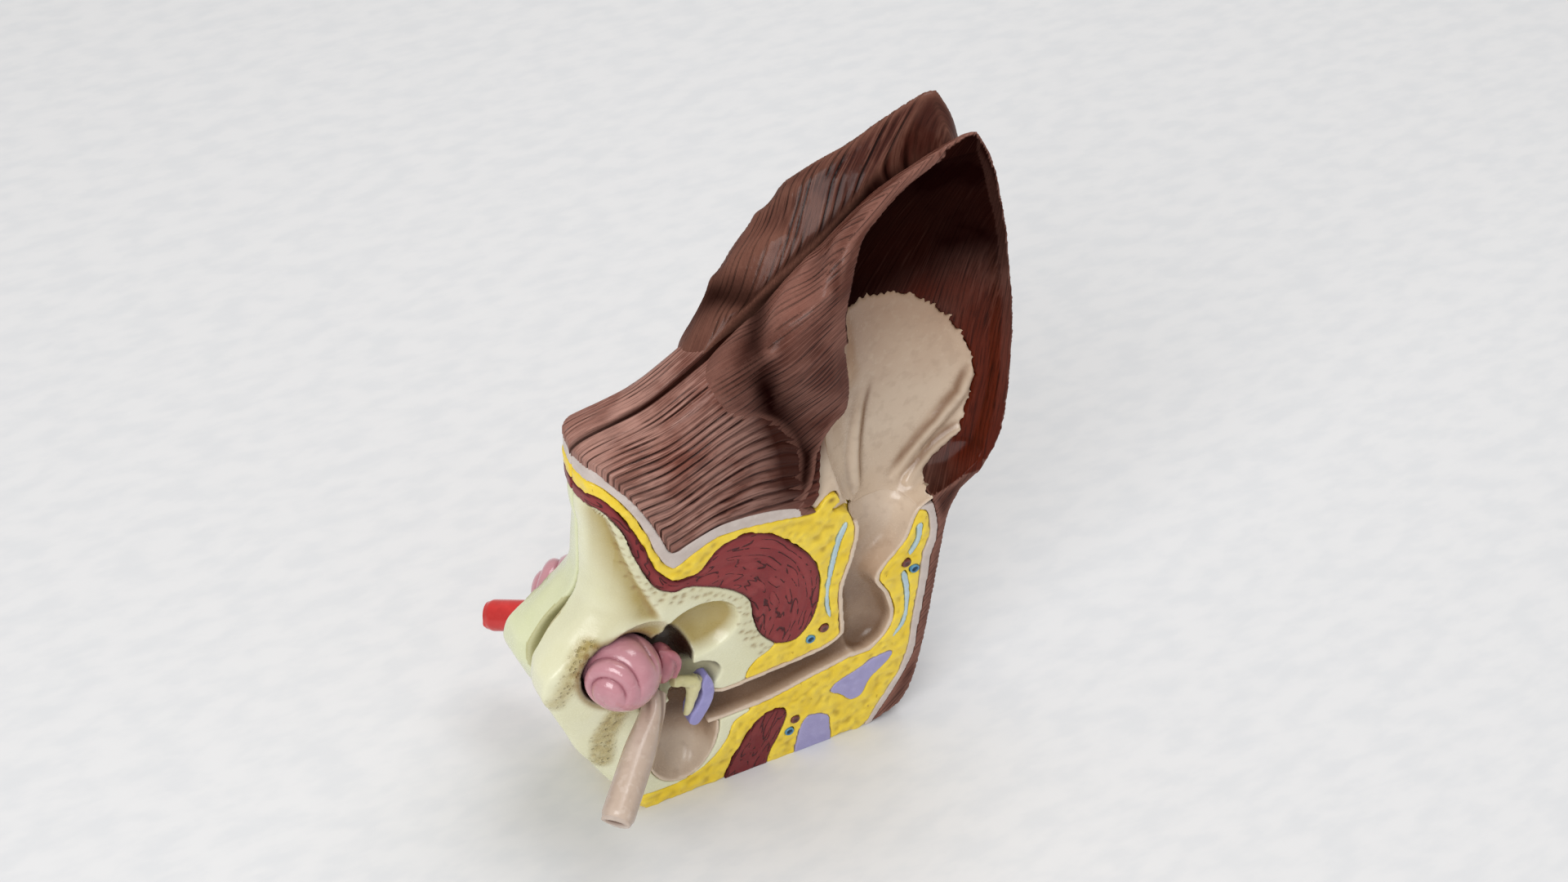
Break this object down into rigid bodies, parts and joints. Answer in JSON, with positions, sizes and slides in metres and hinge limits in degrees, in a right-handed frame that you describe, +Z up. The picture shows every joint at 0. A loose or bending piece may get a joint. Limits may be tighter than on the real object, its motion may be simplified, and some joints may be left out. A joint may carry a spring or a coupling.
{
  "type": "ear anatomy model",
  "caption": "Life-size sectioned model of a dog's ear in healthy and infected halves, with ear flap, layered tissues, ear canal and middle and inner ear, resting on a flat base.",
  "frame": {"origin": "middle of the flat resting face, at the bottom centre of the bounding box", "axes": "+Z up, +X from the nose side towards the cheek and ear flap, +Y out of the infected half's section; the halves meet at Y = 0"},
  "size_m": [0.1234, 0.081, 0.178],
  "materials": {
    "fur_paint": "dark red-brown glossy paint over engraved hair",
    "bare_skin": "beige-grey satin paint",
    "fat_paint": "bright yellow glossy paint",
    "muscle_paint": "crimson glossy paint",
    "bone_paint": "pale cream-green glossy paint",
    "canal_paint": "brown glossy paint with a pinkish edge",
    "inflamed_paint": "inflamed red glossy paint",
    "cartilage_paint": "light blue-grey paint",
    "gland_paint": "lavender paint",
    "artery_paint": "dark red-brown paint",
    "vein_paint": "blue paint with a darker centre",
    "cochlea_paint": "glossy pink paint",
    "vestibule_paint": "dark pink glossy paint",
    "ossicle_paint": "cream paint",
    "eardrum_paint": "lavender glossy paint",
    "tube_paint": "beige glossy paint",
    "red_tube_paint": "bright red glossy paint",
    "peg_plastic": "bare moulded resin"
  },
  "bodies": {
    "normal_half": {"normal_fur_cover": "fur_paint", "normal_concha_skin": "bare_skin", "normal_scalp_skin": "bare_skin", "normal_cheek_skin": "bare_skin", "normal_fat_body": "fat_paint", "normal_temporal_muscle": "muscle_paint", "normal_skull_bone": "bone_paint", "normal_canal_lining": "canal_paint", "normal_bulla_lining": "canal_paint", "normal_eardrum": "eardrum_paint", "normal_ossicles": "ossicle_paint", "normal_cochlea": "cochlea_paint", "normal_vestibule": "vestibule_paint", "normal_auditory_tube": "tube_paint", "normal_lower_muscle": "muscle_paint", "normal_parotid_gland": "gland_paint", "normal_lymph_node": "gland_paint", "normal_concha_cartilage": "cartilage_paint", "normal_tragus_cartilage": "cartilage_paint", "normal_annular_cartilage": "cartilage_paint", "normal_artery_1": "artery_paint", "normal_vein_1": "vein_paint", "normal_artery_2": "artery_paint", "normal_vein_2": "vein_paint", "normal_artery_3": "artery_paint", "normal_vein_3": "vein_paint", "locating_peg_1": "peg_plastic", "locating_peg_2": "peg_plastic", "locating_peg_3": "peg_plastic"},
    "infected_half": {"infected_fur_cover": "fur_paint", "infected_concha_skin": "bare_skin", "infected_scalp_skin": "bare_skin", "infected_cheek_skin": "bare_skin", "infected_fat_body": "fat_paint", "infected_temporal_muscle": "muscle_paint", "infected_skull_bone": "bone_paint", "infected_canal_lining": "inflamed_paint", "infected_bulla_lining": "inflamed_paint", "infected_eardrum": "inflamed_paint", "infected_ossicles": "ossicle_paint", "infected_cochlea": "cochlea_paint", "infected_vestibule": "vestibule_paint", "infected_auditory_tube": "red_tube_paint", "infected_lower_muscle": "muscle_paint", "infected_parotid_gland": "gland_paint", "infected_lymph_node": "gland_paint", "infected_concha_cartilage": "cartilage_paint", "infected_tragus_cartilage": "cartilage_paint", "infected_annular_cartilage": "cartilage_paint", "infected_artery_1": "artery_paint", "infected_vein_1": "vein_paint", "infected_artery_2": "artery_paint", "infected_vein_2": "vein_paint", "infected_artery_3": "artery_paint", "infected_vein_3": "vein_paint"}
  },
  "joints": [
    {"name": "halves_apart", "type": "slide", "parent": "normal_half", "child": "infected_half", "axis": [0, 1, 0], "range_m": [0, 0.02]}
  ]
}
